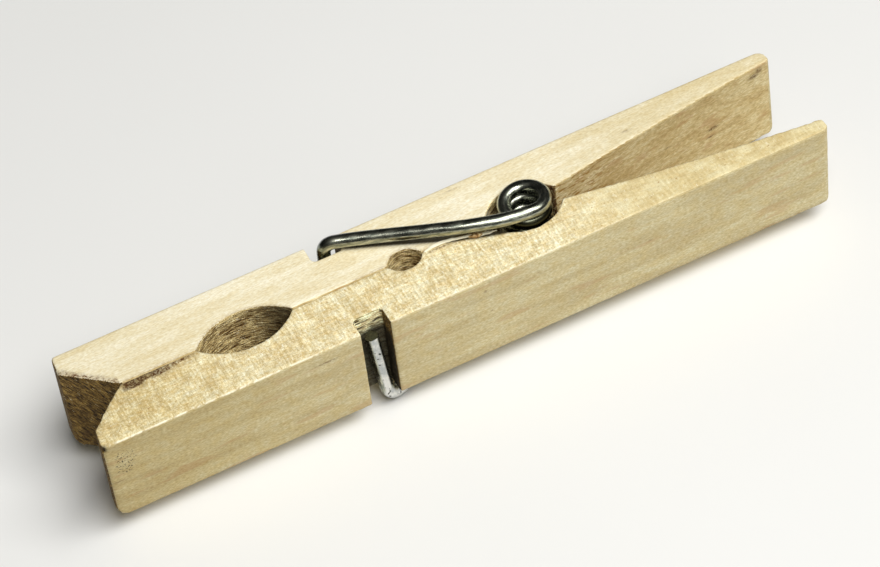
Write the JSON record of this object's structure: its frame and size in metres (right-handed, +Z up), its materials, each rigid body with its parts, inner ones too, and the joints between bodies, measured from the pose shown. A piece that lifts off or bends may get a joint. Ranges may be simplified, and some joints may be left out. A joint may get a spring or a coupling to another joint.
{
  "type": "clothespin",
  "caption": "Wooden spring clothespin: two tapered wooden halves held shut by a coiled steel wire spring, with a round line hole behind the bevelled jaw.",
  "frame": {"origin": "under the middle of the closed clothespin as it lies on its side, at the height of the spring's lowest point", "axes": "+X from the jaw to the handle, +Y from the front half to the back half across the parting plane, +Z up along the axis of the coil"},
  "size_m": [0.072, 0.012, 0.0138],
  "materials": {
    "pale_wood": "bare sawn light wood, matt",
    "spring_steel": "drawn spring wire, dark and glossy"
  },
  "bodies": {
    "front": {"front_half": "pale_wood", "spring": "spring_steel"},
    "back": {"back_half": "pale_wood"}
  },
  "joints": [
    {"name": "pivot", "type": "hinge", "parent": "front", "child": "back", "pos_m": [0.0082, 0, 0.00697], "axis": [0, 0, -1], "range_deg": [0, 17.5], "stiffness_Nm_per_rad": 0.02, "springref_deg": -22.92, "deforming": ["spring"]}
  ]
}
